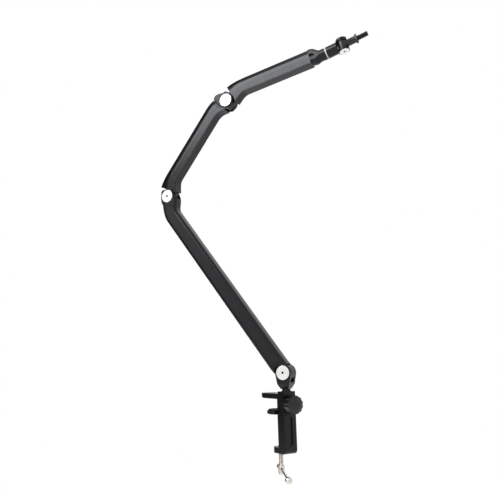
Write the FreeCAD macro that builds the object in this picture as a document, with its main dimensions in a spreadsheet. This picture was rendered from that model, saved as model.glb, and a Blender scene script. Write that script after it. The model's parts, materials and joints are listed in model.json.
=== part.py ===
import FreeCAD, Part
import math
import os
from types import SimpleNamespace

import Sketcher

# Microphone boom arm on a desk clamp: three sections on friction pivots and a tilting stud.
# Millimetres, +Z up. The origin is the middle of the jaw rubber's underside, where it lies on the desk's top.
# +Y points in over the desk and +X runs along its edge.

# Driving sizes, each written once. Lengths in millimetres, angles in degrees.
SIZES = {
    # pose of the arm
    "swivel_angle": -56.8,          # heading of the arm's plane, from +X
    "lower_angle": 124.2,           # lift of each section in that plane, from the heading
    "middle_angle": 51.4,
    "upper_angle": 13.6,
    "bar_angle": 247.5,             # heading of the tommy bar's long end
    "bar_tilt": 7.0,                # the bar hangs down in its loose hole
    # lengths from pivot to pivot
    "lower_length": 428.6,
    "middle_length": 223.7,
    "ring_reach": 214.8,            # wrist pivot to the white ring
    "head_reach": 247.4,            # wrist pivot to the head's pivot
    "stud_reach": 49.3,             # head pivot to the stud's tip
    # fits
    "running_fit": 0.05,
    "seat_fit": 0.02,
    "side_play": 0.3,
    # arm pivots
    "boss_radius": 15.3,
    "tongue_thick": 12.6,
    "washer_thick": 1.0,
    "washer_radius": 13.4,
    "ear_thick": 5.4,
    "ear_round": 1.4,
    "disc_radius": 12.5,
    "disc_thick": 2.2,
    "disc_proud": 0.8,
    "disc_edge": 0.5,
    "barrel_radius": 5.0,
    "pivot_screw_radius": 3.0,
    "bush_wall": 1.5,
    "socket_flats": 4.0,            # hex socket in the disc
    "socket_deep": 3.5,
    "boss_gap": 0.9,                # free space round a turning boss
    # lower section
    "lower_corner": 6.5,
    "lower_wall": 2.6,
    "horn_start": 9.0,              # the tube starts this far past the shoulder pivot
    "tongue_neck": 12.4,            # half width of the tongue where it enters the tube
    "plug_start": 30.0,
    "plug_length": 28.0,
    "panel_half": 8.5,
    "panel_deep": 1.0,
    "panel_thick": 0.8,
    "panel_play": 0.15,
    "panel_start": 22.0,
    "panel_stop": 20.5,
    # middle and upper sections
    "frame_half": 10.0,             # half thickness along the pivots
    "cover_wall": 2.0,
    "cover_play": 0.15,
    "shoulder_height": -2.0,        # where the cover's sides start to lean in
    "shoulder_radius": 22.0,
    "sill_height": 1.2,             # flange of the frame under the cover's edge
    "sill_gap": 0.4,
    "rail_height": 6.0,
    "lip_start": 17.4,
    "lip_depth": 1.0,
    "bulkhead_thick": 5.0,
    "cover_horn": 10.0,             # the cover's sides stop this far short of the wrist pivot
    "fork_block": 14.0,             # solid length behind a fork's slot
    "neck_low": 13.0,               # tongue's neck inside the cover
    "neck_high": 5.0,
    "cheek_radius": 19.4,           # frame that shows between the cover's end and the boss
    # nose of the upper section
    "nose_start": 190.0,
    "nose_length": 16.0,
    "nose_radius": 10.8,
    "nose_corner": 8.0,
    "cover_end": 184.0,
    "port_half_long": 5.0,          # oval port on the near side of the nose
    "port_half_wide": 3.0,
    "port_place": 189.0,
    "port_deep": 4.0,
    # white ring and head
    "ring_radius": 11.1,
    "ring_thick": 2.4,
    "swivel_pin_radius": 5.0,
    "swivel_pin_in": 20.0,
    "swivel_pin_out": 12.0,
    "head_ear_radius": 10.4,
    "head_ear_thick": 5.0,
    "head_slot_root": 14.0,
    "hub_half": 6.5,
    "hub_radius": 8.6,
    "head_washer": 0.8,
    "cap_radius": 9.2,
    "cap_thick": 2.0,
    "cap_proud": 0.8,
    "head_barrel_radius": 4.0,
    "head_screw_radius": 2.5,
    "shank_radius": 6.4,
    "nut_flats": 17.0,
    "nut_thick": 3.0,
    "nut_reach": 26.2,
    "thread_radius": 4.76,
    "thread_relief": 0.4,           # undercut below the nut
    "thread_tip": 0.9,
    # yoke and post
    "waist_drop": 19.5,             # below the shoulder pivot
    "waist_half": 11.5,
    "neck_drop": 28.0,
    "neck_radius": 7.5,
    "collar_drop": 31.5,
    "slot_drop": 17.0,
    "post_radius": 6.0,
    "post_grip": 10.0,
    "post_length": 44.0,
    # clamp bracket
    "clamp_half": 12.0,
    "spine_front": 9.5,
    "spine_back": 13.0,
    "block_top": 13.5,
    "block_back": 10.0,
    "jaw_top": 9.5,
    "jaw_reach": 65.0,
    "jaw_rubber": 1.5,
    "rubber_inset": 1.5,
    "lip_top": 83.0,                # below the desk's top face
    "lip_thick": 10.0,
    "spine_round": 8.0,
    "groove_half": 4.0,
    "groove_deep": 2.6,
    "groove_top": 30.0,
    "groove_stop": 79.0,
    "socket_wall": 1.0,
    "socket_flange": 1.0,
    "socket_flange_radius": 8.6,
    "socket_depth": 34.0,
    # lock knob
    "knob_drop": 8.8,
    "knob_boss_radius": 7.0,
    "knob_boss": 4.0,
    "knob_radius": 16.0,
    "knob_gap": 1.2,
    "knob_rim": 12.5,
    "knob_dome": 4.6,
    "flute_radius": 2.6,
    "flute_count": 12,
    "lock_screw_radius": 3.0,
    # clamp screw, pressure pad and tommy bar
    "screw_reach": 25.3,
    "screw_radius": 4.0,
    "desk_gap": 18.0,
    "pad_radius": 22.0,
    "pad_thick": 6.5,
    "pad_round": 2.5,
    "pad_gap": 0.5,                 # between the pad's flat and the spine
    "pad_rubber": 2.0,
    "pad_rubber_inset": 2.5,
    "tip_depth": 4.5,               # screw's tip inside the pad
    "handle_radius": 5.6,
    "handle_top": 115.0,
    "handle_length": 16.0,
    "handle_round": 2.0,
    "bar_drop": 121.5,
    "bar_radius": 2.0,
    "bar_hole": 2.75,
    "ball_radius": 6.2,
    "bar_long": 66.0,
    "bar_short": 13.0,
}

doc = FreeCAD.newDocument("BoomArm")
sheet = doc.addObject("Spreadsheet::Sheet", "Size")
for row, (alias, number) in enumerate(SIZES.items(), 1):
    sheet.set(f"A{row}", alias)
    sheet.set(f"B{row}", str(number))
    sheet.setAlias(f"B{row}", alias)
doc.recompute()


class Dim:
    """A size with its value and the sheet expression that it follows."""

    def __init__(self, value, text):
        self.value = value
        self.text = text

    def __add__(self, other):
        other = as_dim(other)
        return Dim(self.value + other.value, f"({self.text} + {other.text})")

    def __sub__(self, other):
        other = as_dim(other)
        return Dim(self.value - other.value, f"({self.text} - {other.text})")

    def __mul__(self, other):
        other = as_dim(other)
        return Dim(self.value * other.value, f"({self.text} * {other.text})")

    def __truediv__(self, other):
        other = as_dim(other)
        return Dim(self.value / other.value, f"({self.text} / {other.text})")

    def __neg__(self):
        return as_dim(0) - self

    def __radd__(self, other):
        return as_dim(other) + self

    def __rsub__(self, other):
        return as_dim(other) - self

    def __rmul__(self, other):
        return as_dim(other) * self


def as_dim(number):
    return number if isinstance(number, Dim) else Dim(float(number), f"{float(number):.6f}")


def root(dim):
    return Dim(math.sqrt(dim.value), f"sqrt({dim.text})")


S = SimpleNamespace(**{alias: Dim(number, f"Size.{alias}") for alias, number in SIZES.items()})

# Derived sizes that several pieces share
gap_half = S.tongue_thick / 2 + S.washer_thick
ear_face = gap_half + S.ear_thick
disc_seat = ear_face - (S.disc_thick - S.disc_proud)
pivot_bore = S.barrel_radius + S.running_fit
bush_radius = pivot_bore + S.bush_wall
boss_clear = S.boss_radius + S.boss_gap
panel_floor = ear_face - S.panel_deep
head_gap = S.hub_half + S.head_washer
head_face = head_gap + S.head_ear_thick
cap_seat = head_face - (S.cap_thick - S.cap_proud)
head_bore = S.head_barrel_radius + S.running_fit
pivot_height = S.block_top + S.socket_flange + S.collar_drop
socket_radius = S.post_radius + S.running_fit + S.socket_wall
lip_floor = S.lip_top + S.lip_thick
pad_floor = S.desk_gap + S.pad_rubber + S.pad_thick
jaw_middle = (S.spine_back + S.jaw_reach) / 2
cover_foot = S.sill_height + S.sill_gap - S.boss_radius
arch_rise = S.boss_radius - S.shoulder_height
crown_radius = ((S.shoulder_radius * S.shoulder_radius
                 - (S.shoulder_radius - S.frame_half) * (S.shoulder_radius - S.frame_half)
                 - arch_rise * arch_rise) / (2 * (S.shoulder_radius - arch_rise)))

sub_parts = []


def new_body(label):
    body = doc.addObject("PartDesign::Body", label)
    body.Label = label
    sub_parts.append(body)
    return body


def bind(feature, name, dim):
    setattr(feature, name, dim.value)
    feature.setExpression(name, dim.text)


# Sketch outlines: a point is a straight run's end, an arc ends at its point the short way round its centre

def point(x, y):
    return SimpleNamespace(x=as_dim(x), y=as_dim(y), radius=None)


def arc(x, y, radius, centre_x, centre_y):
    centre = FreeCAD.Vector(as_dim(centre_x).value, as_dim(centre_y).value, 0)
    return SimpleNamespace(x=as_dim(x), y=as_dim(y), radius=as_dim(radius), centre=centre)


def box(x0, x1, y0, y1):
    return [point(x0, y0), point(x1, y0), point(x1, y1), point(x0, y1)]


def rounded_box(half_x, half_y, corner):
    inner_x = half_x - corner
    inner_y = half_y - corner
    return [
        point(inner_x, -half_y),
        arc(half_x, -inner_y, corner, inner_x, -inner_y),
        point(half_x, inner_y),
        arc(inner_x, half_y, corner, inner_x, inner_y),
        point(-inner_x, half_y),
        arc(-half_x, inner_y, corner, -inner_x, inner_y),
        point(-half_x, -inner_y),
        arc(-inner_x, -half_y, corner, -inner_x, -inner_y),
    ]


def stadium(start, stop, half):
    """A round-ended slot along the sketch's X axis."""
    return [
        point(stop - half, -half),
        arc(stop, 0, half, stop - half, 0),
        arc(stop - half, half, half, stop - half, 0),
        point(start + half, half),
        arc(start, 0, half, start + half, 0),
        arc(start + half, -half, half, start + half, 0),
    ]


def upright_stadium(bottom, top, half):
    """A round-ended slot along the sketch's Y axis."""
    return [
        point(half, top - half),
        arc(0, top, half, 0, top - half),
        arc(-half, top - half, half, 0, top - half),
        point(-half, bottom + half),
        arc(0, bottom, half, 0, bottom + half),
        arc(half, bottom + half, half, 0, bottom + half),
    ]


def circle(x, y, radius):
    return SimpleNamespace(x=as_dim(x), y=as_dim(y), circle=as_dim(radius))


def hold(sketch, kind, geometry, end, dim):
    number = sketch.addConstraint(Sketcher.Constraint(kind, -1, 1, geometry, end, dim.value))
    sketch.setExpression(f"Constraints[{number}]", dim.text)


def add_radius(sketch, geometry, dim):
    number = sketch.addConstraint(Sketcher.Constraint("Radius", geometry, dim.value))
    sketch.setExpression(f"Constraints[{number}]", dim.text)


def add_circle(sketch, ring):
    centre = FreeCAD.Vector(ring.x.value, ring.y.value, 0)
    number = sketch.addGeometry(Part.Circle(centre, FreeCAD.Vector(0, 0, 1), ring.circle.value), False)
    hold(sketch, "DistanceX", number, 3, ring.x)
    hold(sketch, "DistanceY", number, 3, ring.y)
    add_radius(sketch, number, ring.circle)


def add_loop(sketch, points):
    ends = []
    for before, now in zip([points[-1]] + points[:-1], points):
        first = FreeCAD.Vector(before.x.value, before.y.value, 0)
        last = FreeCAD.Vector(now.x.value, now.y.value, 0)
        if now.radius is None:
            number = sketch.addGeometry(Part.LineSegment(first, last), False)
            ends.append((number, 1, 2))
            continue
        start = math.atan2(first.y - now.centre.y, first.x - now.centre.x)
        turn = math.atan2(last.y - now.centre.y, last.x - now.centre.x) - start
        turn = (turn + math.pi) % (2 * math.pi) - math.pi
        ring = Part.Circle(now.centre, FreeCAD.Vector(0, 0, 1), now.radius.value)
        if turn > 0:
            number = sketch.addGeometry(Part.ArcOfCircle(ring, start, start + turn), False)
            ends.append((number, 1, 2))
        else:
            number = sketch.addGeometry(Part.ArcOfCircle(ring, start + turn, start), False)
            ends.append((number, 2, 1))
    for (one, _, one_end), (two, two_start, _) in zip(ends, ends[1:] + ends[:1]):
        sketch.addConstraint(Sketcher.Constraint("Coincident", one, one_end, two, two_start))
    for (number, _, end), now in zip(ends, points):
        hold(sketch, "DistanceX", number, end, now.x)
        hold(sketch, "DistanceY", number, end, now.y)
        if now.radius is not None:
            add_radius(sketch, number, now.radius)


def draw(body, plane, loops, lift=0):
    """A sketch on one of the body's own origin planes, raised along its normal."""
    sketch = body.newObject("Sketcher::SketchObject", f"{body.Label}_sketch")
    origin_plane = [item for item in body.Origin.OriginFeatures if item.Role == f"{plane}_Plane"][0]
    sketch.AttachmentSupport = [(origin_plane, "")]
    sketch.MapMode = "FlatFace"
    lift = as_dim(lift)
    sketch.AttachmentOffset = FreeCAD.Placement(FreeCAD.Vector(0, 0, lift.value), FreeCAD.Rotation())
    sketch.setExpression("AttachmentOffset.Base.z", lift.text)
    for loop in loops:
        if isinstance(loop, list):
            add_loop(sketch, loop)
        else:
            add_circle(sketch, loop)
    return sketch


def extrude(body, kind, sketch, length, both=False, back=False):
    feature = body.newObject(f"PartDesign::{kind}", f"{body.Label}_{kind.lower()}")
    feature.Profile = sketch
    bind(feature, "Length", as_dim(length))
    feature.SideType = "Symmetric" if both else "One side"
    feature.Reversed = back
    doc.recompute()
    return feature


def pad(body, plane, loops, length, lift=0, both=False, back=False):
    return extrude(body, "Pad", draw(body, plane, loops, lift), length, both, back)


def pocket(body, plane, loops, length, lift=0, both=False, back=False):
    before = body.Shape.Volume
    feature = extrude(body, "Pocket", draw(body, plane, loops, lift), length, both, back)
    if body.Shape.Volume >= before:
        raise RuntimeError(f"{body.Label}: a pocket cuts nothing")
    return feature


def revolve(body, kind, loop):
    """Turns an outline of radius and height round the body's Z axis."""
    sketch = draw(body, "XZ", [loop])
    feature = body.newObject(f"PartDesign::{kind}", f"{body.Label}_{kind.lower()}")
    feature.Profile = sketch
    feature.ReferenceAxis = (sketch, ["V_Axis"])
    feature.Angle = 360.0
    doc.recompute()
    return feature


def turned(label, loop):
    body = new_body(label)
    revolve(body, "Revolution", loop)
    return body


def soften(body, radius, wanted):
    """Rounds the edges of the finished features whose middle passes the test."""
    shape = body.Tip.Shape
    names = [f"Edge{number}" for number, edge in enumerate(shape.Edges, 1)
             if wanted(edge.valueAt((edge.FirstParameter + edge.LastParameter) / 2), edge)]
    if not names:
        raise RuntimeError(f"{body.Label}: no edge to round")
    base = body.Tip
    feature = body.newObject("PartDesign::Fillet", f"{body.Label}_fillet")
    feature.Base = (base, names)
    bind(feature, "Radius", radius)
    doc.recompute()
    return feature


def near(one, other):
    return abs(one - other) < 1e-4


def is_circle(edge, radius):
    return edge.Curve.TypeId == "Part::GeomCircle" and near(edge.Curve.Radius, radius)


def hexagon(flats):
    """A hexagon of the given width across flats, round the sketch's origin."""
    side = flats / root(as_dim(3))
    return [point(side, 0), point(side / 2, flats / 2), point(-side / 2, flats / 2),
            point(-side, 0), point(-side / 2, -flats / 2), point(side / 2, -flats / 2)]


# Frames of the pieces

x_axis = FreeCAD.Vector(1, 0, 0)
y_axis = FreeCAD.Vector(0, 1, 0)
z_axis = FreeCAD.Vector(0, 0, 1)
arm_plane = FreeCAD.Rotation(z_axis, SIZES["swivel_angle"]) * FreeCAD.Rotation(x_axis, 90)
lower_turn = arm_plane * FreeCAD.Rotation(z_axis, SIZES["lower_angle"])
middle_turn = arm_plane * FreeCAD.Rotation(z_axis, SIZES["middle_angle"])
upper_turn = arm_plane * FreeCAD.Rotation(z_axis, SIZES["upper_angle"])
# the clamp's pieces are drawn about the post's axis, outside the desk's edge
post_foot = FreeCAD.Vector(0, -jaw_middle.value, 0)
shoulder = post_foot + FreeCAD.Vector(0, 0, pivot_height.value)
elbow = shoulder + lower_turn.multVec(x_axis * SIZES["lower_length"])
wrist = elbow + middle_turn.multVec(x_axis * SIZES["middle_length"])
ring_place = wrist + upper_turn.multVec(x_axis * SIZES["ring_reach"])
head_pivot = wrist + upper_turn.multVec(x_axis * SIZES["head_reach"])
# a turned piece's own Z axis laid along the upper section, or across it in the arm's plane
along_upper = upper_turn * FreeCAD.Rotation(y_axis, 90)
across_upper = upper_turn * FreeCAD.Rotation(x_axis, 90)
# a turned piece's own Z axis pointing out of the clamp's front
out_of_front = FreeCAD.Rotation(x_axis, 90)


def place(body, base, turn=FreeCAD.Rotation()):
    body.Placement = FreeCAD.Placement(base, turn)
    return body


# Pivot: a disc-headed screw in a disc-headed barrel nut, with a washer on each side of the tongue

arm_pivot = SimpleNamespace(
    face=ear_face, seat=disc_seat, proud=S.disc_proud, disc=S.disc_radius, edge=S.disc_edge,
    barrel=S.barrel_radius, screw=S.pivot_screw_radius, tongue=S.tongue_thick / 2,
    washer=S.washer_thick, washer_radius=S.washer_radius)
tilt_pivot = SimpleNamespace(
    face=head_face, seat=cap_seat, proud=S.cap_proud, disc=S.cap_radius, edge=S.disc_edge,
    barrel=S.head_barrel_radius, screw=S.head_screw_radius, tongue=S.hub_half,
    washer=S.head_washer, washer_radius=S.hub_radius)


def pivot_screw(label, sizes):
    top = sizes.face + sizes.proud
    bottom = sizes.screw - sizes.face
    body = turned(label, [
        point(0, bottom),
        point(sizes.screw, bottom),
        point(sizes.screw, sizes.seat),
        point(sizes.disc, sizes.seat),
        point(sizes.disc, top - sizes.edge),
        arc(sizes.disc - sizes.edge, top, sizes.edge, sizes.disc - sizes.edge, top - sizes.edge),
        point(0, top),
    ])
    pocket(body, "XY", [hexagon(S.socket_flats)], S.socket_deep, lift=top)
    return body


def pivot_nut(label, sizes):
    bottom = -(sizes.face + sizes.proud)
    bore = sizes.screw + S.running_fit
    sleeve_top = sizes.seat - S.side_play
    sleeve_floor = sizes.screw - sizes.face - S.side_play
    return turned(label, [
        point(0, bottom),
        point(sizes.disc - sizes.edge, bottom),
        arc(sizes.disc, bottom + sizes.edge, sizes.edge, sizes.disc - sizes.edge, bottom + sizes.edge),
        point(sizes.disc, -sizes.seat),
        point(sizes.barrel, -sizes.seat),
        point(sizes.barrel, sleeve_top),
        point(bore, sleeve_top),
        point(bore, sleeve_floor),
        point(0, sleeve_floor),
    ])


def pivot_washer(label, sizes, side):
    inner = sizes.barrel + S.running_fit + S.side_play
    faces = sorted([side * sizes.tongue, side * (sizes.tongue + sizes.washer)], key=lambda dim: dim.value)
    return turned(label, box(inner, sizes.washer_radius, *faces))


def pivot_bush(label):
    half = S.tongue_thick / 2
    return turned(label, box(pivot_bore, bush_radius, -half, half))


def add_pivot(name, sizes, base, turn):
    place(pivot_screw(f"{name}_pivot_screw", sizes), base, turn)
    place(pivot_nut(f"{name}_pivot_nut", sizes), base, turn)
    place(pivot_washer(f"{name}_washer_near", sizes, 1), base, turn)
    place(pivot_washer(f"{name}_washer_far", sizes, -1), base, turn)


def cut_ears(body, centre):
    """Bores a fork's ears for the pivot and sinks a seat for each disc."""
    seat = circle(centre, 0, S.disc_radius + S.side_play)
    deep = S.disc_thick - S.disc_proud
    pocket(body, "XY", [seat], deep, lift=ear_face)
    pocket(body, "XY", [seat], deep, lift=-ear_face, back=True)
    pocket(body, "XY", [circle(centre, 0, pivot_bore)], 2 * ear_face, both=True)


def fork_slot(body, centre, root_back):
    """Opens the fork's slot from its root to past the boss."""
    opening = box(centre - root_back, centre + 2 * S.boss_radius, -2 * S.boss_radius, 2 * S.boss_radius)
    pocket(body, "XY", [opening], 2 * gap_half, both=True)


def round_boss(body):
    """Rounds the rim of a boss on both of its faces."""
    def rim(middle, edge):
        return is_circle(edge, S.boss_radius.value) and near(abs(middle.z), ear_face.value)
    soften(body, S.ear_round, rim)


# Clamp

def clamp_bracket():
    body = new_body("clamp_bracket")
    corner = S.spine_round
    outline = [
        point(-S.spine_front, S.block_top),
        point(-S.spine_front, corner - lip_floor),
        arc(corner - S.spine_front, -lip_floor, corner, corner - S.spine_front, corner - lip_floor),
        point(S.spine_back, -lip_floor),
        point(S.spine_back, S.jaw_rubber),
        point(S.jaw_reach, S.jaw_rubber),
        point(S.jaw_reach, S.jaw_top),
        point(S.block_back, S.jaw_top),
        point(S.block_back, S.block_top),
    ]
    pad(body, "YZ", [outline], 2 * S.clamp_half, both=True)
    # the lower lip, round about the clamp screw
    lip = [
        point(-S.clamp_half, S.spine_back - S.clamp_half),
        point(S.clamp_half, S.spine_back - S.clamp_half),
        point(S.clamp_half, S.screw_reach),
        arc(0, S.screw_reach + S.clamp_half, S.clamp_half, 0, S.screw_reach),
        arc(-S.clamp_half, S.screw_reach, S.clamp_half, 0, S.screw_reach),
    ]
    pad(body, "XY", [lip], S.lip_thick, lift=-lip_floor)
    pocket(body, "XY", [circle(0, S.screw_reach, S.screw_radius + S.running_fit)], S.lip_thick, lift=-S.lip_top)
    # the lock screw's boss on the front, and the bores of the post and the screw
    pad(body, "XZ", [circle(0, -S.knob_drop, S.knob_boss_radius)], S.knob_boss, lift=S.spine_front)
    pocket(body, "XY", [circle(0, 0, socket_radius + S.seat_fit)], S.socket_depth, lift=S.block_top)
    pocket(body, "XZ", [circle(0, -S.knob_drop, S.lock_screw_radius + S.running_fit)],
           S.spine_front + S.knob_boss, lift=S.spine_front + S.knob_boss)
    # the round-ended groove down the front
    groove = upright_stadium(-S.groove_stop, -S.groove_top, S.groove_half)
    pocket(body, "XZ", [groove], S.groove_deep, lift=S.spine_front)
    return body


def jaw_rubber():
    body = new_body("jaw_rubber")
    sheet_area = box(S.rubber_inset - S.clamp_half, S.clamp_half - S.rubber_inset,
                     S.spine_back + S.rubber_inset, S.jaw_reach - S.rubber_inset)
    pad(body, "XY", [sheet_area], S.jaw_rubber)
    return body


def socket_bush():
    bore = S.post_radius + S.running_fit
    bottom = S.block_top - S.socket_depth
    body = turned("socket_bush", [
        point(bore, bottom),
        point(socket_radius, bottom),
        point(socket_radius, S.block_top),
        point(S.socket_flange_radius, S.block_top),
        point(S.socket_flange_radius, S.block_top + S.socket_flange),
        point(bore, S.block_top + S.socket_flange),
    ])
    window = circle(0, -S.knob_drop, S.lock_screw_radius + S.side_play)
    pocket(body, "XZ", [window], 2 * socket_radius, back=True)
    return body


knob_start = S.spine_front + S.knob_boss + S.knob_gap


def lock_knob():
    """A fluted hand knob with a domed face, turned about its screw."""
    body = new_body("lock_knob")
    bore = S.lock_screw_radius + S.seat_fit
    flat = knob_start + S.knob_rim
    dome_radius = (S.knob_radius * S.knob_radius + S.knob_dome * S.knob_dome) / (2 * S.knob_dome)
    revolve(body, "Revolution", [
        point(bore, knob_start),
        point(S.knob_radius, knob_start),
        point(S.knob_radius, flat),
        arc(0, flat + S.knob_dome, dome_radius, 0, flat + S.knob_dome - dome_radius),
        point(0, flat),
        point(bore, flat),
    ])
    flute = circle(S.knob_radius + S.flute_radius / 2, 0, S.flute_radius)
    cut = pocket(body, "XY", [flute], S.knob_rim + S.knob_dome, lift=knob_start, back=True)
    pattern = body.newObject("PartDesign::PolarPattern", "lock_knob_flutes")
    pattern.Originals = [cut]
    axis = [item for item in body.Origin.OriginFeatures if item.Role == "Z_Axis"][0]
    pattern.Axis = (axis, [""])
    pattern.Angle = 360.0
    pattern.Occurrences = int(SIZES["flute_count"])
    pattern.setExpression("Occurrences", S.flute_count.text)
    body.Tip = pattern
    doc.recompute()
    return body


def lock_screw():
    tip = S.post_radius + S.side_play
    return turned("lock_screw", box(0, S.lock_screw_radius, tip, knob_start + S.knob_rim))


def flatten_pad(body):
    """The flat beside the spine that keeps the pad from turning with the screw."""
    flat = S.spine_back + S.pad_gap - S.screw_reach
    beyond = box(-2 * S.pad_radius, 2 * S.pad_radius, -2 * S.pad_radius, flat)
    pocket(body, "XY", [beyond], 2 * pad_floor, both=True)


def pressure_pad():
    top = -(S.desk_gap + S.pad_rubber)
    bore = S.screw_radius + S.running_fit
    body = turned("pressure_pad", [
        point(0, top),
        point(0, top - S.pad_thick + S.tip_depth),
        point(bore, top - S.pad_thick + S.tip_depth),
        point(bore, -pad_floor),
        point(S.pad_radius - S.pad_round, -pad_floor),
        arc(S.pad_radius, S.pad_round - pad_floor, S.pad_round,
            S.pad_radius - S.pad_round, S.pad_round - pad_floor),
        point(S.pad_radius, top),
    ])
    flatten_pad(body)
    return body


def pad_rubber():
    radius = S.pad_radius - S.pad_rubber_inset
    body = turned("pad_rubber", box(0, radius, -(S.desk_gap + S.pad_rubber), -S.desk_gap))
    flatten_pad(body)
    return body


def clamp_screw():
    tip = S.tip_depth - pad_floor
    bottom = -(S.handle_top + S.handle_length)
    body = turned("clamp_screw", [
        point(0, tip),
        point(0, bottom),
        point(S.handle_radius - S.handle_round, bottom),
        arc(S.handle_radius, bottom + S.handle_round, S.handle_round,
            S.handle_radius - S.handle_round, bottom + S.handle_round),
        point(S.handle_radius, -S.handle_top),
        point(S.screw_radius, -S.handle_top),
        point(S.screw_radius, tip),
    ])
    pocket(body, "YZ", [circle(0, -S.bar_drop, S.bar_hole)], 4 * S.handle_radius, both=True)
    return body


def tommy_bar():
    return turned("tommy_bar", box(0, S.bar_radius, -S.bar_short, S.bar_long))


def tommy_ball(label, middle, grip_side):
    body = turned(label, [
        point(0, middle - S.ball_radius),
        arc(S.ball_radius, middle, S.ball_radius, 0, middle),
        arc(0, middle + S.ball_radius, S.ball_radius, 0, middle),
    ])
    reach = S.ball_radius * 2
    hole = circle(0, 0, S.bar_radius + S.seat_fit)
    pocket(body, "XY", [hole], reach, lift=middle, back=grip_side)
    return body


# Yoke

def yoke():
    body = new_body("yoke")
    radius = S.boss_radius
    outline = [
        point(-S.waist_half, -S.waist_drop),
        point(-S.neck_radius, -S.neck_drop),
        point(S.neck_radius, -S.neck_drop),
        point(S.waist_half, -S.waist_drop),
        point(radius, 0),
        arc(0, radius, radius, 0, 0),
        arc(-radius, 0, radius, 0, 0),
    ]
    pad(body, "XY", [outline], 2 * ear_face, both=True)
    round_boss(body)
    # the ears' outer faces lean in to the round collar
    for side in (1, -1):
        lean = [
            point(-S.waist_drop, side * ear_face),
            point(-S.neck_drop, side * S.neck_radius),
            point(-S.neck_drop, side * ear_face),
        ]
        pocket(body, "YZ", [lean], 4 * radius, both=True)
    fork_slot_down = box(-2 * radius, 2 * radius, -S.slot_drop, 2 * radius)
    pocket(body, "XY", [fork_slot_down], 2 * gap_half, both=True)
    pad(body, "XZ", [circle(0, 0, S.neck_radius)], S.collar_drop - S.neck_drop, lift=S.neck_drop)
    pocket(body, "XZ", [circle(0, 0, S.post_radius + S.seat_fit)], S.post_grip, lift=S.collar_drop)
    cut_ears(body, as_dim(0))
    return body


def post():
    top = S.post_grip - S.collar_drop
    return turned("post", box(0, S.post_radius, -(S.collar_drop + S.post_length - S.post_grip), top))


# Lower section: a tube with a tongue plugged into one end, a fork in the other and a panel let into each side

lower_seam = S.lower_length - boss_clear - S.fork_block
tube_bore = rounded_box(S.boss_radius - S.lower_wall, ear_face - S.lower_wall, S.lower_corner - S.lower_wall)
plug_section = rounded_box(S.boss_radius - S.lower_wall - S.seat_fit, ear_face - S.lower_wall - S.seat_fit,
                           S.lower_corner - S.lower_wall)


def panel_outline(half, stop):
    """A long strip with a round end towards the elbow."""
    centre = S.lower_length - stop - half
    return [
        point(S.horn_start, -half),
        point(centre, -half),
        arc(centre + half, 0, half, centre, 0),
        arc(centre, half, half, centre, 0),
        point(S.horn_start, half),
    ]


def sink_panels(body):
    recess = panel_outline(S.panel_half, S.panel_stop)
    pocket(body, "XY", [recess], S.panel_deep, lift=ear_face)
    pocket(body, "XY", [recess], S.panel_deep, lift=-ear_face, back=True)


def bore_tongue(body):
    pocket(body, "XY", [circle(0, 0, bush_radius + S.seat_fit)], S.tongue_thick, both=True)


def lower_tongue():
    body = new_body("lower_tongue")
    pad(body, "XY", [circle(0, 0, S.boss_radius)], S.tongue_thick, both=True)
    pad(body, "XY", [box(0, S.plug_start, -S.tongue_neck, S.tongue_neck)], S.tongue_thick, both=True)
    pad(body, "YZ", [plug_section], S.plug_length, lift=S.plug_start)
    bore_tongue(body)
    return body


def lower_tube():
    body = new_body("lower_tube")
    section = rounded_box(S.boss_radius, ear_face, S.lower_corner)
    pad(body, "YZ", [section, tube_bore], lower_seam - S.horn_start, lift=S.horn_start)
    sink_panels(body)
    # hollowed end that clears the yoke's boss
    pocket(body, "XY", [circle(0, 0, boss_clear)], 4 * ear_face, both=True)
    return body


def lower_fork():
    body = new_body("lower_fork")
    centre = S.lower_length
    pad(body, "XY", [circle(centre, 0, S.boss_radius)], 2 * ear_face, both=True)
    round_boss(body)
    pad(body, "YZ", [rounded_box(S.boss_radius, ear_face, S.lower_corner)], centre - lower_seam, lift=lower_seam)
    pad(body, "YZ", [plug_section], S.plug_length, lift=lower_seam - S.plug_length)
    fork_slot(body, centre, boss_clear)
    sink_panels(body)
    cut_ears(body, centre)
    return body


def lower_panel(label, side):
    body = new_body(label)
    half = S.panel_half - S.panel_play
    strip = panel_outline(half, S.panel_stop + S.panel_play)
    pad(body, "XY", [strip], S.panel_thick, lift=side * panel_floor, back=side < 0)
    pocket(body, "XY", [circle(0, 0, S.panel_start)], 4 * ear_face, both=True)
    return body


# Middle and upper sections: a cast frame with a tongue, under an arched cover

def arch_points(inset):
    """Corner values of the cover's arched section, set in by a wall."""
    half = S.frame_half - inset
    lean = S.frame_half - S.shoulder_radius
    crown_height = S.boss_radius - crown_radius
    along = (S.shoulder_radius - inset) / (S.shoulder_radius - crown_radius)
    return SimpleNamespace(
        half=half, lean=lean, crown_height=crown_height,
        side_radius=S.shoulder_radius - inset, top_radius=crown_radius - inset,
        join_height=S.shoulder_height + (crown_height - S.shoulder_height) * along,
        join_side=lean - lean * along)


def arch_run(shape, side):
    """The run from one foot of the arch over its crown to the other, as height and side."""
    return [
        point(S.shoulder_height, side * shape.half),
        arc(shape.join_height, side * shape.join_side, shape.side_radius, S.shoulder_height, side * shape.lean),
        arc(shape.join_height, -side * shape.join_side, shape.top_radius, shape.crown_height, 0),
        arc(S.shoulder_height, -side * shape.half, shape.side_radius, S.shoulder_height, -side * shape.lean),
    ]


def arch(inset, foot):
    shape = arch_points(inset)
    return [point(foot, -shape.half), point(foot, shape.half)] + arch_run(shape, 1)


def arch_shell():
    outer = arch_points(as_dim(0))
    inner = arch_points(S.cover_wall)
    return ([point(cover_foot, outer.half)] + arch_run(outer, 1)
            + [point(cover_foot, -outer.half), point(cover_foot, -inner.half)] + arch_run(inner, -1)
            + [point(cover_foot, inner.half)])


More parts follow.
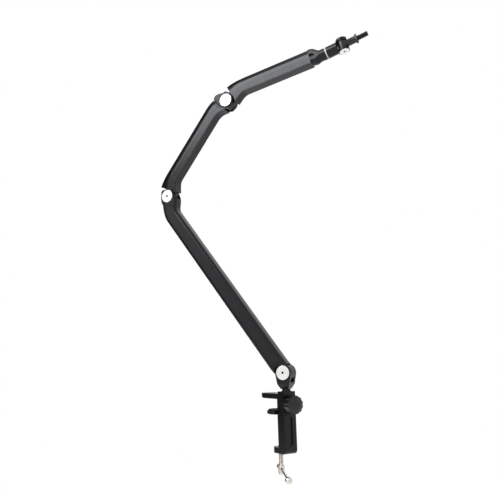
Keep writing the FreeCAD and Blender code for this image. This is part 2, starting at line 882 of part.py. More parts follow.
inside_cover = S.cover_wall + S.cover_play
sill_top = S.sill_height - S.boss_radius
bulkhead = S.lip_start + S.lip_depth


def add_tongue(body):
    """Tongue, its neck and the bulkhead that fills the cover's end."""
    pad(body, "XY", [circle(0, 0, S.boss_radius)], S.tongue_thick, both=True)
    neck = box(0, bulkhead + S.bulkhead_thick, -S.neck_low, S.neck_high)
    pad(body, "XY", [neck], S.tongue_thick, both=True)
    pad(body, "YZ", [arch(inside_cover, sill_top)], S.bulkhead_thick, lift=bulkhead)


def add_rail(body, stop):
    """Sill under the cover's edges and the rail inside it."""
    half = S.frame_half
    inner = S.frame_half - inside_cover
    pad(body, "YZ", [box(-S.boss_radius, sill_top, -half, half)], stop - S.lip_start, lift=S.lip_start)
    pad(body, "YZ", [box(sill_top, sill_top + S.rail_height, -inner, inner)], stop - bulkhead, lift=bulkhead)


def middle_frame():
    body = new_body("middle_frame")
    centre = S.middle_length
    # cheeks behind the wrist boss, flush with the cover and cut round about the pivot
    behind = S.cheek_radius + S.fork_block
    pad(body, "YZ", [arch(as_dim(0), -S.boss_radius)], behind, lift=centre - behind)
    outside = box(centre - 2 * behind, centre + behind, -behind, behind)
    pocket(body, "XY", [outside, circle(centre, 0, S.cheek_radius)], 4 * ear_face, both=True)
    pad(body, "XY", [circle(centre, 0, S.boss_radius)], 2 * ear_face, both=True)
    round_boss(body)
    block = centre - boss_clear - S.fork_block
    pad(body, "YZ", [arch(inside_cover, sill_top)], S.fork_block, lift=block)
    add_rail(body, centre - boss_clear)
    add_tongue(body)
    fork_slot(body, centre, boss_clear)
    cut_ears(body, centre)
    bore_tongue(body)
    return body


def middle_cover():
    body = new_body("middle_cover")
    centre = S.middle_length
    pad(body, "YZ", [arch_shell()], centre - S.cover_horn - S.lip_start, lift=S.lip_start)
    pocket(body, "XY", [circle(centre, 0, S.cheek_radius + S.cover_play)], 4 * ear_face, both=True)
    return body


def upper_frame():
    body = new_body("upper_frame")
    # nose: from the arch's outline to the round neck
    steps = ((0.0, 0.0), (0.3, 0.16), (0.7, 0.84), (1.0, 1.0))
    sketches = []
    for along, blend in steps:
        high = S.boss_radius + (S.nose_radius - S.boss_radius) * blend
        wide = S.frame_half + (S.nose_radius - S.frame_half) * blend
        corner = S.nose_corner + (S.nose_radius - S.running_fit - S.nose_corner) * blend
        loop = rounded_box(high, wide, corner)
        sketches.append(draw(body, "YZ", [loop], lift=S.nose_start + S.nose_length * along))
    nose = body.newObject("PartDesign::AdditiveLoft", "upper_frame_nose")
    nose.Profile = sketches[0]
    nose.Sections = sketches[1:]
    doc.recompute()
    pad(body, "YZ", [rounded_box(S.boss_radius, S.frame_half, S.nose_corner)], S.nose_start - S.cover_end,
        lift=S.cover_end)
    neck_start = S.nose_start + S.nose_length
    pad(body, "YZ", [circle(0, 0, S.nose_radius)], S.ring_reach - neck_start, lift=neck_start)
    pocket(body, "YZ", [circle(0, 0, S.swivel_pin_radius + S.running_fit)], S.swivel_pin_in + S.side_play,
           lift=S.ring_reach)
    add_rail(body, S.cover_end)
    add_tongue(body)
    bore_tongue(body)
    port = stadium(S.port_place - S.port_half_long, S.port_place + S.port_half_long, S.port_half_wide)
    pocket(body, "XY", [port], S.port_deep, lift=S.frame_half)
    return body


def upper_cover():
    body = new_body("upper_cover")
    pad(body, "YZ", [arch_shell()], S.cover_end - S.cover_play - S.lip_start, lift=S.lip_start)
    return body


# White ring, swivelling head and stud

def swivel_ring():
    return turned("swivel_ring", box(S.swivel_pin_radius + S.side_play, S.ring_radius, 0, S.ring_thick))


def swivel_pin():
    return turned("swivel_pin", box(0, S.swivel_pin_radius, -S.swivel_pin_in, S.ring_thick + S.swivel_pin_out))


def head_fork():
    body = new_body("head_fork")
    start = S.ring_reach + S.ring_thick
    centre = S.head_reach
    pad(body, "YZ", [circle(0, 0, S.nose_radius)], centre - start, lift=start)
    pad(body, "XZ", [circle(centre, 0, S.head_ear_radius)], 2 * head_face, both=True)
    opening = box(centre - S.head_slot_root, centre + 2 * S.head_ear_radius,
                  -2 * S.head_ear_radius, 2 * S.head_ear_radius)
    pocket(body, "XZ", [opening], 2 * head_gap, both=True)
    seat = circle(centre, 0, S.cap_radius + S.side_play)
    deep = S.cap_thick - S.cap_proud
    pocket(body, "XZ", [seat], deep, lift=head_face)
    pocket(body, "XZ", [seat], deep, lift=-head_face, back=True)
    pocket(body, "XZ", [circle(centre, 0, head_bore)], 2 * head_face, both=True)
    pocket(body, "YZ", [circle(0, 0, S.swivel_pin_radius + S.seat_fit)], S.swivel_pin_out, lift=start, back=True)
    return body


def mic_stud():
    body = new_body("mic_stud")
    pad(body, "XZ", [circle(0, 0, S.hub_radius)], 2 * S.hub_half, both=True)
    pad(body, "YZ", [circle(0, 0, S.shank_radius)], S.nut_reach)
    thread_start = S.nut_reach + S.nut_thick
    pad(body, "YZ", [circle(0, 0, S.thread_radius - S.thread_relief)], S.nut_thick, lift=S.nut_reach)
    pad(body, "YZ", [circle(0, 0, S.thread_radius)], S.stud_reach - thread_start, lift=thread_start)
    pocket(body, "XZ", [circle(0, 0, head_bore)], 2 * S.hub_half, both=True)
    soften(body, S.thread_tip, lambda middle, edge: near(middle.x, SIZES["stud_reach"]))
    return body


def stud_nut():
    body = new_body("stud_nut")
    hole = circle(0, 0, S.thread_radius - S.thread_relief + S.seat_fit)
    pad(body, "YZ", [hexagon(S.nut_flats), hole], S.nut_thick, lift=S.nut_reach)
    return body


# Assembly

screw_axis = post_foot + FreeCAD.Vector(0, SIZES["screw_reach"], 0)
screw_turn = FreeCAD.Rotation(z_axis, SIZES["bar_angle"])
bar_place = screw_axis - FreeCAD.Vector(0, 0, SIZES["bar_drop"])
bar_turn = screw_turn * FreeCAD.Rotation(y_axis, 90 + SIZES["bar_tilt"])
knob_place = post_foot - FreeCAD.Vector(0, 0, SIZES["knob_drop"])

place(clamp_bracket(), post_foot)
place(jaw_rubber(), post_foot)
place(socket_bush(), post_foot)
place(lock_knob(), knob_place, out_of_front)
place(lock_screw(), knob_place, out_of_front)
place(pressure_pad(), screw_axis)
place(pad_rubber(), screw_axis)
place(clamp_screw(), screw_axis, screw_turn)
place(tommy_bar(), bar_place, bar_turn)
place(tommy_ball("tommy_ball_long", S.bar_long, False), bar_place, bar_turn)
place(tommy_ball("tommy_ball_short", -S.bar_short, True), bar_place, bar_turn)

place(yoke(), shoulder, arm_plane)
place(post(), shoulder)
add_pivot("shoulder", arm_pivot, shoulder, arm_plane)

place(pivot_bush("shoulder_bush"), shoulder, lower_turn)
place(lower_tongue(), shoulder, lower_turn)
place(lower_tube(), shoulder, lower_turn)
place(lower_fork(), shoulder, lower_turn)
place(lower_panel("lower_panel_near", 1), shoulder, lower_turn)
place(lower_panel("lower_panel_far", -1), shoulder, lower_turn)
add_pivot("elbow", arm_pivot, elbow, lower_turn)

place(pivot_bush("elbow_bush"), elbow, middle_turn)
place(middle_frame(), elbow, middle_turn)
place(middle_cover(), elbow, middle_turn)
add_pivot("wrist", arm_pivot, wrist, middle_turn)

place(pivot_bush("wrist_bush"), wrist, upper_turn)
place(upper_frame(), wrist, upper_turn)
place(upper_cover(), wrist, upper_turn)
place(swivel_ring(), ring_place, along_upper)

place(swivel_pin(), ring_place, along_upper)
place(head_fork(), wrist, upper_turn)
add_pivot("head", tilt_pivot, head_pivot, across_upper)

place(mic_stud(), head_pivot, upper_turn)
place(stud_nut(), head_pivot, upper_turn)

# Every object is checked before anything is written

doc.recompute()
for item in doc.Objects:
    if "Invalid" in item.State or "Error" in item.State:
        raise RuntimeError(f"{item.Label}: {item.State}")
for body in sub_parts:
    if body.Shape.isNull() or not body.Shape.isValid() or len(body.Shape.Solids) != 1:
        raise RuntimeError(f"{body.Label}: not one valid solid")

os.makedirs("parts", exist_ok=True)
for body in sub_parts:
    body.Shape.exportStep(os.path.join("parts", f"{body.Label}.step"))
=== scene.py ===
import json
import math

import bmesh
import bpy
from mathutils import Matrix, Vector


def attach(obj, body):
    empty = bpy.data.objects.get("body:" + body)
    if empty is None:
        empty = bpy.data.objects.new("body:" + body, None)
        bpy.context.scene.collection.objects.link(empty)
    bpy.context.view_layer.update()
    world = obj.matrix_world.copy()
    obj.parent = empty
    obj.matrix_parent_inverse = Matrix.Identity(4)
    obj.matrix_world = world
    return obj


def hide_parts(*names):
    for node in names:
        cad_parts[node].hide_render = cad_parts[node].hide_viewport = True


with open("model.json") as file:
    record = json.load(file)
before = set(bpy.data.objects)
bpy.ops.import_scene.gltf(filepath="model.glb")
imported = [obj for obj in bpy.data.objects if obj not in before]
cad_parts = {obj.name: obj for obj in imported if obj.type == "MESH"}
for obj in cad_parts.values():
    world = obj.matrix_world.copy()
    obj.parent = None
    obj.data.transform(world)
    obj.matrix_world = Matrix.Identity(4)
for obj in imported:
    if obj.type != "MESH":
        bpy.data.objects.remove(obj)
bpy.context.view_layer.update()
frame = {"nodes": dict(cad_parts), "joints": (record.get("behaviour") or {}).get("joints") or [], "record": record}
nodes = frame["nodes"]
record = frame["record"]
joints = {joint["name"]: joint for joint in frame["joints"]}
mounts = {mount["name"]: mount for mount in record["mounts"]}
slot_of = {row["node"]: row["material_slot"] for row in record["subparts"]}
MM = 0.001

# Lines of the object, from the frame
near_side = Vector(joints["shoulder"]["axis"])
tilt_axis = Vector(joints["head_tilt"]["axis"])
post_foot = Vector(joints["base_swivel"]["pos_m"])
screw_place = Vector(joints["screw_turn"]["pos_m"])
shoulder = Vector(joints["shoulder"]["pos_m"])
elbow = Vector(joints["elbow"]["pos_m"])
wrist = Vector(joints["wrist"]["pos_m"])
head_pivot = Vector(joints["head_tilt"]["pos_m"])


# Node helpers, for materials and for the world

def add_node(tree, kind, **settings):
    node = tree.nodes.new(kind)
    for key, value in settings.items():
        setattr(node, key, value)
    return node


def math_node(tree, operation, one, other):
    """An operation on two values, each a plain number or a socket."""
    node = add_node(tree, "ShaderNodeMath", operation=operation)
    for socket, value in zip(node.inputs, (one, other)):
        if isinstance(value, float):
            socket.default_value = value
        else:
            tree.links.new(value, socket)
    return node.outputs["Value"]


def vector_node(tree, operation, one, other=(0.0, 0.0, 0.0)):
    """An operation on a socket's vector and a fixed one."""
    node = add_node(tree, "ShaderNodeVectorMath", operation=operation)
    tree.links.new(one, node.inputs[0])
    node.inputs[1].default_value = other
    return node.outputs


def map_range(tree, value, source, target, interpolation="LINEAR"):
    """Maps a socket's number from one range to another."""
    node = add_node(tree, "ShaderNodeMapRange", interpolation_type=interpolation)
    for socket, number in zip(("From Min", "From Max", "To Min", "To Max"), (*source, *target)):
        node.inputs[socket].default_value = number
    tree.links.new(value, node.inputs["Value"])
    return node.outputs["Result"]


# the part of a noise pattern's range that most of it lies in
pattern_range = (0.3, 0.7)
noise_roughness = 0.55
bevel_samples = 6


class Shader:
    """A material's node tree with one Principled shader."""

    def __init__(self, name):
        self.material = bpy.data.materials.new(name)
        self.material.use_nodes = True
        self.tree = self.material.node_tree
        self.shader = self.tree.nodes["Principled BSDF"]
        self.place = add_node(self.tree, "ShaderNodeTexCoord").outputs["Object"]

    def link(self, source, target):
        self.tree.links.new(source, target)

    def set(self, **sockets):
        for key, value in sockets.items():
            self.shader.inputs[key.replace("_", " ")].default_value = value

    def noise(self, scale, detail=3.0, vector=None):
        node = add_node(self.tree, "ShaderNodeTexNoise")
        node.inputs["Scale"].default_value = scale
        node.inputs["Detail"].default_value = detail
        node.inputs["Roughness"].default_value = noise_roughness
        self.link(vector or self.place, node.inputs["Vector"])
        return node.outputs["Fac"]

    def colours(self, value, low, high):
        """Maps a pattern to a range of colours."""
        node = add_node(self.tree, "ShaderNodeValToRGB")
        for element, position, colour in zip(node.color_ramp.elements, pattern_range, (low, high)):
            element.position = position
            element.color = (*colour, 1)
        self.link(value, node.inputs["Fac"])
        return node.outputs["Color"]

    def bump(self, height, distance, strength, soft_edge):
        """Small relief, on edges softened by a small radius."""
        node = add_node(self.tree, "ShaderNodeBump")
        node.inputs["Distance"].default_value = distance
        node.inputs["Strength"].default_value = strength
        self.link(height, node.inputs["Height"])
        bevel = add_node(self.tree, "ShaderNodeBevel", samples=bevel_samples)
        bevel.inputs["Radius"].default_value = soft_edge
        self.link(bevel.outputs["Normal"], node.inputs["Normal"])
        self.link(node.outputs["Normal"], self.shader.inputs["Normal"])

    def colour_from(self, socket):
        self.link(socket, self.shader.inputs["Base Color"])

    def roughness_from(self, pattern, low, high):
        roughness = map_range(self.tree, pattern, pattern_range, (low, high))
        self.link(roughness, self.shader.inputs["Roughness"])


# Finishes

def black_finish(name, dark, light, rough, grain, relief, specular):
    """Black paint or plastic: cloudy tone, grain of a given size and a varied gloss."""
    cloud_scale = 18.0
    gloss_scale = 60.0
    gloss_change = 0.04
    blue_share = 1.06
    relief_strength = 0.6
    soft_edge = 0.4 * MM
    cool_tint = (0.92, 0.95, 1.0, 1.0)
    look = Shader(name)
    cloud = look.noise(cloud_scale, detail=4.0)
    look.colour_from(look.colours(cloud, (dark,) * 3, (light, light, light * blue_share)))
    gloss = look.noise(gloss_scale, detail=5.0)
    look.roughness_from(gloss, rough - gloss_change, rough + gloss_change)
    look.set(Specular_IOR_Level=specular, Specular_Tint=cool_tint)
    look.bump(look.noise(1.0 / grain, detail=2.0), relief, relief_strength, soft_edge)
    return look.material


def turned_metal(name, centre, axis, socket_floor):
    """Bright metal with the fine rings that a lathe leaves about an axis.

    The hex socket in its middle is painted near black as painted shade for the hole, though it is the same metal:
    it lies below a height along the axis and close to it."""
    tint = (0.86, 0.86, 0.84)
    stain = tuple(0.9 * part for part in tint)
    stain_scale = 90.0
    ring_pitch = 0.35 * MM
    smooth = 0.2
    rough = 0.34
    relief = 0.02 * MM
    relief_strength = 0.4
    soft_edge = 0.2 * MM
    socket_reach = 2.45 * MM
    # painted shade: near black for the inside of the hex socket, which is the same metal as the face
    socket_painted_shade = (0.02, 0.02, 0.02, 1)
    look = Shader(name)
    offset = vector_node(look.tree, "SUBTRACT", look.place, centre)["Vector"]
    cross = vector_node(look.tree, "CROSS_PRODUCT", offset, axis)["Vector"]
    radius = vector_node(look.tree, "LENGTH", cross)["Value"]
    height = vector_node(look.tree, "DOT_PRODUCT", offset, axis)["Value"]
    radial = add_node(look.tree, "ShaderNodeCombineXYZ")
    look.link(radius, radial.inputs["X"])
    rings = look.noise(1.0 / ring_pitch, detail=2.0, vector=radial.outputs["Vector"])
    bright = look.colours(look.noise(stain_scale, detail=4.0), stain, tint)
    sunk = math_node(look.tree, "LESS_THAN", height, socket_floor)
    inside = math_node(look.tree, "LESS_THAN", radius, socket_reach)
    mix = add_node(look.tree, "ShaderNodeMix", data_type="RGBA")
    look.link(math_node(look.tree, "MULTIPLY", sunk, inside), mix.inputs["Factor"])
    # the socket's faces take the painted shade, the rest the bright metal
    face_colour, hole_painted_shade = [entry for entry in mix.inputs if entry.type == "RGBA"]
    look.link(bright, face_colour)
    hole_painted_shade.default_value = socket_painted_shade
    look.colour_from([entry for entry in mix.outputs if entry.type == "RGBA"][0])
    look.roughness_from(rings, smooth, rough)
    look.set(Metallic=1.0)
    look.bump(rings, relief, relief_strength, soft_edge)
    return look.material


def bright_nickel(name):
    """Nickel-plated steel with faint stains and fine scratches."""
    stained = (0.54, 0.5, 0.45)
    clean = (0.76, 0.72, 0.67)
    stain_scale = 140.0
    gloss_scale = 420.0
    scratch_scale = 2600.0
    smooth = 0.25
    rough = 0.39
    relief = 0.01 * MM
    relief_strength = 0.4
    soft_edge = 0.25 * MM
    look = Shader(name)
    look.colour_from(look.colours(look.noise(stain_scale, detail=5.0), stained, clean))
    look.roughness_from(look.noise(gloss_scale, detail=4.0), smooth, rough)
    look.set(Metallic=1.0)
    look.bump(look.noise(scratch_scale, detail=2.0), relief, relief_strength, soft_edge)
    return look.material


def white_plastic(name):
    shaded = (0.78, 0.78, 0.77)
    clean = (0.88, 0.88, 0.87)
    stain_scale = 200.0
    gloss_scale = 500.0
    grain_scale = 3000.0
    smooth = 0.3
    rough = 0.42
    relief = 0.01 * MM
    relief_strength = 0.4
    soft_edge = 0.2 * MM
    look = Shader(name)
    look.colour_from(look.colours(look.noise(stain_scale, detail=4.0), shaded, clean))
    look.roughness_from(look.noise(gloss_scale), smooth, rough)
    look.bump(look.noise(grain_scale), relief, relief_strength, soft_edge)
    return look.material


# One finish for each slot of the record, and one of its own for each bright disc

# columns: name, dark tone, light tone, roughness, size of the grain, its depth, specular level
black_looks = {
    "black_casting": ("satin_black_casting", 0.003, 0.005, 0.32, 0.8 * MM, 0.002 * MM, 0.3),
    "black_tube": ("satin_black_tube", 0.003, 0.005, 0.26, 0.8 * MM, 0.001 * MM, 0.3),
    "black_panel": ("matt_black_panel", 0.006, 0.009, 0.42, 0.8 * MM, 0.002 * MM, 0.3),
    "black_cover": ("satin_black_cover", 0.003, 0.005, 0.24, 0.8 * MM, 0.001 * MM, 0.35),
    "black_knob": ("black_knob", 0.006, 0.01, 0.3, 0.8 * MM, 0.002 * MM, 0.42),
    "black_rubber": ("black_rubber", 0.01, 0.016, 0.7, 0.5 * MM, 0.05 * MM, 0.3),
    "black_pad": ("black_pad", 0.005, 0.008, 0.4, 0.8 * MM, 0.003 * MM, 0.3),
    "nylon": ("black_nylon", 0.012, 0.018, 0.5, 0.4 * MM, 0.01 * MM, 0.35),
    "black_cap": ("black_cap", 0.004, 0.007, 0.24, 0.8 * MM, 0.002 * MM, 0.4),
    "black_steel": ("black_steel", 0.006, 0.010, 0.3, 0.6 * MM, 0.003 * MM, 0.45),
}
finish = {slot: black_finish(*look) for slot, look in black_looks.items()}
finish["nickel_screw"] = bright_nickel("bright_nickel")
finish["white_ring"] = white_plastic("white_plastic")

socket_skin = 0.15 * MM
pivots = {
    "shoulder": (shoulder, near_side),
    "elbow": (elbow, near_side),
    "wrist": (wrist, near_side),
    "head": (head_pivot, -tilt_axis),
}
for name, cad in nodes.items():
    if slot_of[name] == "nickel_disc":
        centre, axis = pivots[name.split("_")[0]]
        face = max((vertex.co - centre).dot(axis) for vertex in cad.data.vertices)
        material = turned_metal(f"turned_{name}", centre, axis, face - socket_skin)
    else:
        material = finish[slot_of[name]]
    cad.data.materials.clear()
    cad.data.materials.append(material)


# Pieces that stand for a node take the node's mesh as their start

weld_distance = 0.001 * MM
section_crease = math.radians(32.0)
thread_crease = math.radians(60.0)


def share(value, low, high):
    return min(1.0, max(0.0, (value - low) / (high - low)))


def start_piece(node):
    mesh = bmesh.new()
    mesh.from_mesh(nodes[node].data)
    bmesh.ops.remove_doubles(mesh, verts=mesh.verts, dist=weld_distance)
    return mesh


def end_piece(mesh, node, body, suffix, crease):
    """Turns a mesh into a piece that moves with a body and stands for a node."""
    data = bpy.data.meshes.new(f"{node}_{suffix}")
    bmesh.ops.recalc_face_normals(mesh, faces=mesh.faces)
    mesh.to_mesh(data)
    mesh.free()
    if "custom_normal" in data.attributes:
        data.attributes.remove(data.attributes["custom_normal"])
    data.polygons.foreach_set("use_smooth", [True] * len(data.polygons))
    data.set_sharp_from_angle(angle=crease)
    data.materials.clear()
    data.materials.append(finish[slot_of[node]])
    piece = bpy.data.objects.new(f"{node}_{suffix}", data)
    bpy.context.scene.collection.objects.link(piece)
    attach(piece, body)
    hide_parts(node)


# Bent sections: in the photograph each section lies outside the line of its pivots and bends into its hinges

boss_radius = 15.3 * MM
seat_edge = 13.3 * MM
lean_start = 16.0 * MM
lean_stop = 50.0 * MM
cut_step = 3.0 * MM
cuts_by_hinge = 16
cuts_by_height = 4
edge_window = 6.0
edge_samples = (-1.0, -0.5, 0.0, 0.5, 1.0)


def edge_height(knots, place):
    """Height of an edge at a place along the section: a line through the knots, softened over a window."""
    total = 0.0
    for sample in edge_samples:
        spot = place / MM + edge_window * sample
        height = knots[0][1]
        for (start, low), (stop, high) in zip(knots, knots[1:]):
            height += (high - low) * share(spot, start, stop)
        total += height
    return total / len(edge_samples) * MM


def bent(node, body, base, along, hinges, under, outer, lean=0.0):
    """A copy of a section's node whose under and outer edges follow two lines, with its hinges left round.

    The section's start leans over its first hinge by a share of the height."""
    outward = near_side.cross(along)
    mesh = start_piece(node)
    cuts = []
    for hinge in hinges:
        for index in range(-cuts_by_hinge, cuts_by_hinge + 1):
            cuts.append((base + along * (hinge + index * cut_step), along))
    for index in range(-cuts_by_height, cuts_by_height + 1):
        cuts.append((base + outward * (index * cut_step), outward))
    for place, normal in cuts:
        bmesh.ops.bisect_plane(mesh, geom=mesh.verts[:] + mesh.edges[:] + mesh.faces[:],
                               plane_co=place, plane_no=normal)
    for vertex in mesh.verts:
        offset = vertex.co - base
        place = offset.dot(along)
        height = offset.dot(outward)
        low = edge_height(under, place)
        high = edge_height(outer, place)
        target = low + (height + boss_radius) / (2 * boss_radius) * (high - low)
        from_hinge = min(math.hypot(place - hinge, height) for hinge in hinges)
        free = share(from_hinge, seat_edge, boss_radius)
        over = lean * max(0.0, target) * (1.0 - share(place, lean_start, lean_stop))
        vertex.co += (outward * (target - height) - along * over) * free
    end_piece(mesh, node, body, "bent", section_crease)


def along_line(start, stop):
    """The direction from one point to another, and the distance."""
    return (stop - start).normalized(), (stop - start).length


# knots: place along the line of the pivots and height outside it, in millimetres
lower_along, lower_length = along_line(shoulder, elbow)
lower_under = [(6, -15.3), (14, -13.5), (397, 1.3), (413, -15.3)]
lower_outer = [(6, 15.3), (14, 17.5), (392, 31.6), (406, 28.4), (420, 21.8), (432, 15.6), (442, 15.0)]
for name in ("lower_tube", "lower_panel_near", "lower_panel_far", "lower_tongue", "lower_fork"):
    bent(name, "lower_arm", shoulder, lower_along, (0.0, lower_length), lower_under, lower_outer)

cover_lean = 0.4
middle_along, middle_length = along_line(elbow, wrist)
middle_under = [(12, -15.3), (20, -8.0), (36, 4.2), (190, 4.2), (204, -4.0), (212, -15.3)]
middle_outer = [(0, 15.3), (6, 24.0), (12, 30.0), (20, 34.0), (34, 36.7), (196, 36.7), (208, 34.5),
                (218, 30.0), (228, 22.0), (238, 15.3)]
for name in ("middle_frame", "middle_cover"):
    bent(name, "middle_arm", elbow, middle_along, (0.0, middle_length), middle_under, middle_outer,
         cover_lean)

upper_along = along_line(wrist, head_pivot)[0]
upper_under = [(12, -15.3), (20, -8.5), (36, 1.6), (186, -9.4), (206, -15.3)]
upper_outer = [(0, 15.3), (6, 24.0), (12, 29.5), (20, 32.5), (34, 34.4), (186, 23.1), (206, 15.3)]
for name in ("upper_frame", "upper_cover"):
    bent(name, "upper_arm", wrist, upper_along, (0.0,), upper_under, upper_outer, cover_lean)


# Head: the photograph shows no daylight behind the hub, so the root of the fork's slot comes closer to it

slot_root = -14.0 * MM
slot_half = 7.35 * MM
slot_touch = 0.1 * MM
closer = 4.4 * MM
head = start_piece("head_fork")
for vertex in head.verts:
    offset = vertex.co - head_pivot
    at_root = abs(offset.dot(upper_along) - slot_root) < slot_touch
    if at_root and abs(offset.dot(tilt_axis)) < slot_half:
        vertex.co += upper_along * closer
end_piece(head, "head_fork", "head", "closed", section_crease)


# Threads: a node's plain rod gives way to a rod with a cut thread of the same outer size

rod_touch = 0.02 * MM
thread_columns = 40
thread_rows_per_turn = 8
thread_depth_share = 0.55
groove_start = 0.2
groove_floor = 0.8


def threaded(node, body, base, axis, start, stop, major, pitch):
    """A copy of a node whose plain rod, between two heights along an axis, has a right-hand thread."""
    depth = thread_depth_share * pitch
    side = axis.orthogonal().normalized()
    other = axis.cross(side)
    mesh = start_piece(node)

    def on_rod(vertex):
        height = (vertex.co - base).dot(axis)
        radius = (vertex.co - base - axis * height).length
        return start - rod_touch < height < stop + rod_touch and radius < major + rod_touch

    plain = [face for face in mesh.faces if all(on_rod(vertex) for vertex in face.verts)]
    bmesh.ops.delete(mesh, geom=plain, context="FACES")
    rings = []
    row_count = round((stop - start) / pitch * thread_rows_per_turn)
    for row in range(row_count + 1):
        height = start + (stop - start) * row / row_count
        cut_in = share(height, start, start + pitch)
        tip = major - depth * share(height, stop - pitch, stop)
        ring = []
        for column in range(thread_columns):
            turn = column / thread_columns
            phase = (height / pitch - turn) % 1.0
            groove = share(abs(2 * phase - 1), groove_start, groove_floor)
            radius = min(tip, major - depth * groove * cut_in)
            angle = 2 * math.pi * turn
            outward = side * math.cos(angle) + other * math.sin(angle)
            ring.append(mesh.verts.new(base + axis * height + outward * radius))
        rings.append(ring)
    for lower, upper in zip(rings, rings[1:]):
        for column in range(thread_columns):
            after = (column + 1) % thread_columns
            mesh.faces.new((lower[column], lower[after], upper[after], upper[column]))
    mesh.faces.new(list(reversed(rings[0])))
    mesh.faces.new(rings[-1])
    end_piece(mesh, node, body, "threaded", thread_crease)


stud_mount = mounts["mic_thread"]
stud_axis = Vector(stud_mount["axis"]).normalized()
stud_middle = Vector(stud_mount["pos_m"])
stud_radius = stud_mount["dims"]["r_mm"] * MM
stud_start = -stud_mount["dims"]["length_mm"] / 2 * MM
stud_tip = max((vertex.co - stud_middle).dot(stud_axis) for vertex in nodes["mic_stud"].data.vertices)
inch_in_mm = 25.4
stud_threads_per_inch = 16
stud_pitch = inch_in_mm / stud_threads_per_inch * MM
threaded("mic_stud", "stud", stud_middle, stud_axis, stud_start, stud_tip, stud_radius, stud_pitch)

screw_up = Vector((0, 0, 1))
screw_radius = 4.0 * MM
screw_pitch = 1.25 * MM
screw_offsets = [vertex.co - screw_place for vertex in nodes["clamp_screw"].data.vertices]
rod_heights = [offset.dot(screw_up) for offset in screw_offsets
               if abs(offset.cross(screw_up).length - screw_radius) < rod_touch]
threaded("clamp_screw", "screw", screw_place, screw_up, min(rod_heights), max(rod_heights), screw_radius,
         screw_pitch)


# Camera: the photograph's place, direction and lens, as fitted to the pivots, the stud and the clamp

image_side = 500
focal_pixels = 633.4
sensor = 36.0
camera_heading = math.radians(-30.14)
camera_pitch = math.radians(9.58)
camera_roll = math.radians(-1.71)
camera_from_post = Vector((-625.0, -963.3, 75.2)) * MM

forward = Vector((-math.sin(camera_heading) * math.cos(camera_pitch),
                  math.cos(camera_heading) * math.cos(camera_pitch), math.sin(camera_pitch)))
level_right = Vector((math.cos(camera_heading), math.sin(camera_heading), 0))
level_up = level_right.cross(forward)
right = level_right * math.cos(camera_roll) + level_up * math.sin(camera_roll)
up = level_up * math.cos(camera_roll) - level_right * math.sin(camera_roll)
lens = bpy.data.cameras.new("camera")
lens.sensor_fit = "HORIZONTAL"
lens.sensor_width = sensor
lens.lens = focal_pixels / image_side * sensor
camera = bpy.data.objects.new("camera", lens)
camera.matrix_world = Matrix((right, up, -forward)).transposed().to_4x4()
camera.location = Vector((post_foot.x, post_foot.y, 0)) + camera_from_post
bpy.context.scene.collection.objects.link(camera)
bpy.context.scene.camera = camera


# Stage: a pale floor at a desk's height below the clamp, one soft box and a white surround

desk_height = 0.74
floor_radius = 3.4
floor_corners = 64
floor_turns = [2 * math.pi * corner / floor_corners for corner in range(floor_corners)]
floor_rim = [(floor_radius * math.cos(turn), floor_radius * math.sin(turn), -desk_height)
             for turn in floor_turns]
floor_mesh = bpy.data.meshes.new("floor")
floor_mesh.from_pydata(floor_rim, [], [tuple(range(floor_corners))])
floor = bpy.data.objects.new("floor", floor_mesh)
bpy.context.scene.collection.objects.link(floor)

floor_dark = (0.84, 0.84, 0.84)
floor_light = (0.88, 0.88, 0.88)
floor_cloud_scale = 3.0
floor_glow = 0.7
floor_look = Shader("pale_floor")
floor_look.colour_from(floor_look.colours(floor_look.noise(floor_cloud_scale), floor_dark, floor_light))
floor_look.set(Roughness=0.8, Specular_IOR_Level=0.2, Emission_Color=(1, 1, 1, 1))
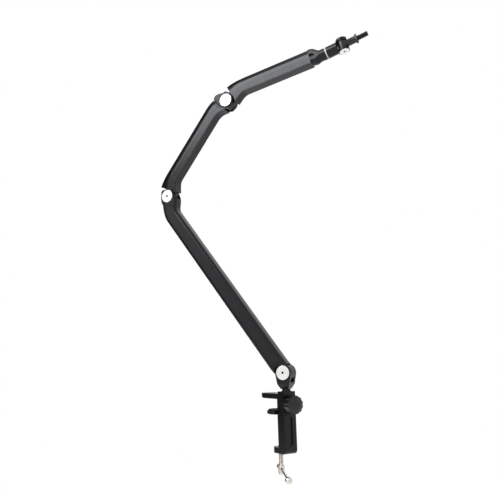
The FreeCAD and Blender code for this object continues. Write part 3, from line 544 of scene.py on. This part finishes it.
# the floor glows for the camera and in reflections, so that it is white there and still takes a shadow
floor_rays = add_node(floor_look.tree, "ShaderNodeLightPath").outputs
floor_seen = math_node(floor_look.tree, "MAXIMUM", floor_rays["Is Camera Ray"], floor_rays["Is Glossy Ray"])
floor_strength = math_node(floor_look.tree, "MULTIPLY", floor_seen, floor_glow)
floor_look.link(floor_strength, floor_look.shader.inputs["Emission Strength"])
floor_mesh.materials.append(floor_look.material)

# the key stands to the left, from about 18 to 54 degrees up, and lights the flank of the upper section
key_rise = math.radians(36.0)
key_away = 2.6
key_heading = Vector((-0.998, -0.06, 0))
key_side = key_heading * math.cos(key_rise) + Vector((0, 0, math.sin(key_rise)))
key_lamp = bpy.data.lights.new("key", "AREA")
key_lamp.shape = "RECTANGLE"
key_lamp.size = 1.6
key_lamp.size_y = 1.7
key_lamp.energy = 60.0
key = bpy.data.objects.new("key", key_lamp)
key.location = wrist + key_side * key_away
key.rotation_euler = (-key_side).to_track_quat("-Z", "Y").to_euler()
bpy.context.scene.collection.objects.link(key)

ambient = 0.3
far_wall_side = (-0.45, 0.85, 0.25)
far_wall_edge = (0.5, 0.7)
far_wall_tone = 0.08
world = bpy.data.worlds.new("surround")
bpy.context.scene.world = world
world.use_nodes = True
sky = world.node_tree
sky.nodes.clear()
rays = add_node(sky, "ShaderNodeLightPath").outputs
direction = add_node(sky, "ShaderNodeTexCoord").outputs["Generated"]
# reflections show the white surround too, but for a dark far wall that keeps the outer edges black
towards_wall = vector_node(sky, "DOT_PRODUCT", direction, far_wall_side)["Value"]
wall = map_range(sky, towards_wall, far_wall_edge, (1.0, far_wall_tone), "SMOOTHSTEP")
mirrored = math_node(sky, "MAXIMUM", rays["Is Glossy Ray"], rays["Is Transmission Ray"])
in_mirror = math_node(sky, "MULTIPLY", mirrored, wall)
seen = math_node(sky, "MAXIMUM", rays["Is Camera Ray"], in_mirror)
not_mirrored = math_node(sky, "SUBTRACT", 1.0, mirrored)
dim = math_node(sky, "MULTIPLY", not_mirrored, ambient)
surround = add_node(sky, "ShaderNodeBackground")
surround.inputs["Color"].default_value = (1, 1, 1, 1)
sky.links.new(math_node(sky, "MAXIMUM", seen, dim), surround.inputs["Strength"])
out = add_node(sky, "ShaderNodeOutputWorld")
sky.links.new(surround.outputs["Background"], out.inputs["Surface"])
bpy.context.scene.view_settings.view_transform = "Standard"
